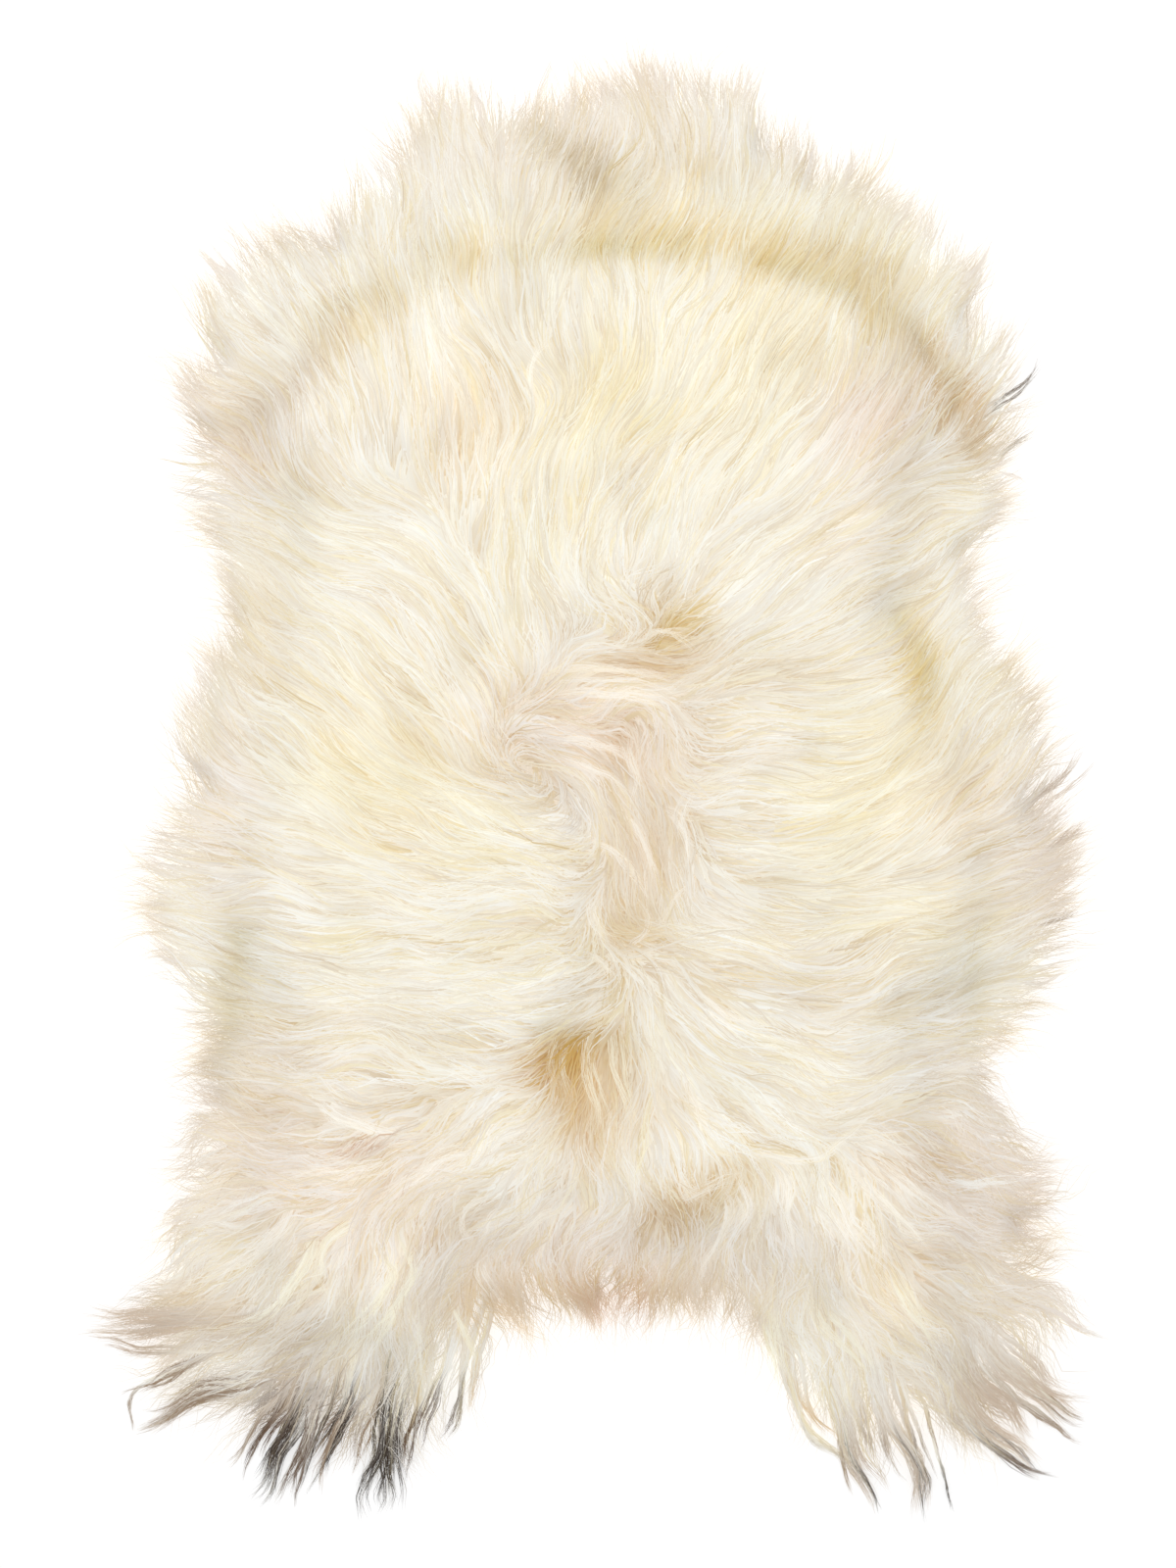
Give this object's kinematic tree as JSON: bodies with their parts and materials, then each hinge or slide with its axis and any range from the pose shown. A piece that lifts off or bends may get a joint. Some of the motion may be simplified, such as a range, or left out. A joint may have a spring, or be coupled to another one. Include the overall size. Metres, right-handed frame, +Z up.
{
  "type": "sheepskin rug",
  "caption": "Whole tanned sheepskin laid flat as a rug: long cream wool falling from a parting to a rim of pointed locks, with dark-tipped locks at the hind legs.",
  "frame": {"origin": "on the floor, under the middle of the rug's outline", "axes": "+Y towards the neck, +X to the right seen from above with the neck up, +Z up out of the wool"},
  "size_m": [0.8072, 1.1284, 0.0577],
  "materials": {
    "wool": "matte",
    "skin": "matte"
  },
  "bodies": {
    "root": {"sheepskin": "wool"}
  },
  "joints": []
}
